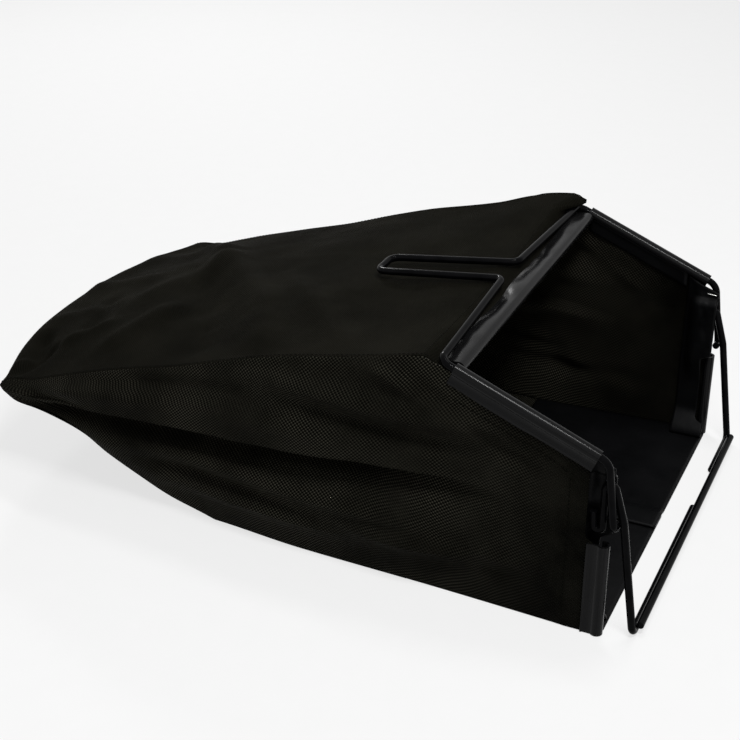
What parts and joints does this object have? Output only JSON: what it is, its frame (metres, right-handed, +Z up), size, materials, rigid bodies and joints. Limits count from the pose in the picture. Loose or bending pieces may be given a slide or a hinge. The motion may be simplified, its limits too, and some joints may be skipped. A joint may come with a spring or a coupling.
{
  "type": "mower grass collection bag",
  "caption": "Soft mesh grass collection bag with a vinyl floor on a bent wire frame with side hooks, a wire carrying handle and an open slanted mouth.",
  "frame": {"origin": "on the floor under the middle of the overall length and width", "axes": "+Z up, the open mouth faces -Y, the tail points to +Y, and +X is the bag's right side as seen from the mouth with +Y ahead"},
  "size_m": [0.4056, 0.6952, 0.2429],
  "materials": {
    "frame_steel": "gloss black paint",
    "binding_vinyl": "extruded vinyl with a soft shine",
    "floor_vinyl": "stiff black vinyl sheet, satin",
    "top_cloth": "dense woven black polyester",
    "mesh_cloth": "open woven black mesh",
    "staple_steel": "bright wire"
  },
  "bodies": {
    "root": {"upper_frame_wire": "frame_steel", "left_leg_wire": "frame_steel", "right_leg_wire": "frame_steel", "crossbar_wire": "frame_steel", "left_rail_binding": "binding_vinyl", "right_rail_binding": "binding_vinyl", "bar_binding": "binding_vinyl", "left_lower_binding": "binding_vinyl", "right_lower_binding": "binding_vinyl", "top_panel": "top_cloth", "left_side_panel": "mesh_cloth", "right_side_panel": "mesh_cloth", "bottom_panel": "mesh_cloth", "left_floor_sheet": "floor_vinyl", "right_floor_sheet": "floor_vinyl", "left_front_lining": "floor_vinyl", "right_front_lining": "floor_vinyl", "left_rail_lining": "floor_vinyl", "right_rail_lining": "floor_vinyl", "left_corner_staple": "staple_steel", "right_corner_staple": "staple_steel"}
  },
  "joints": []
}
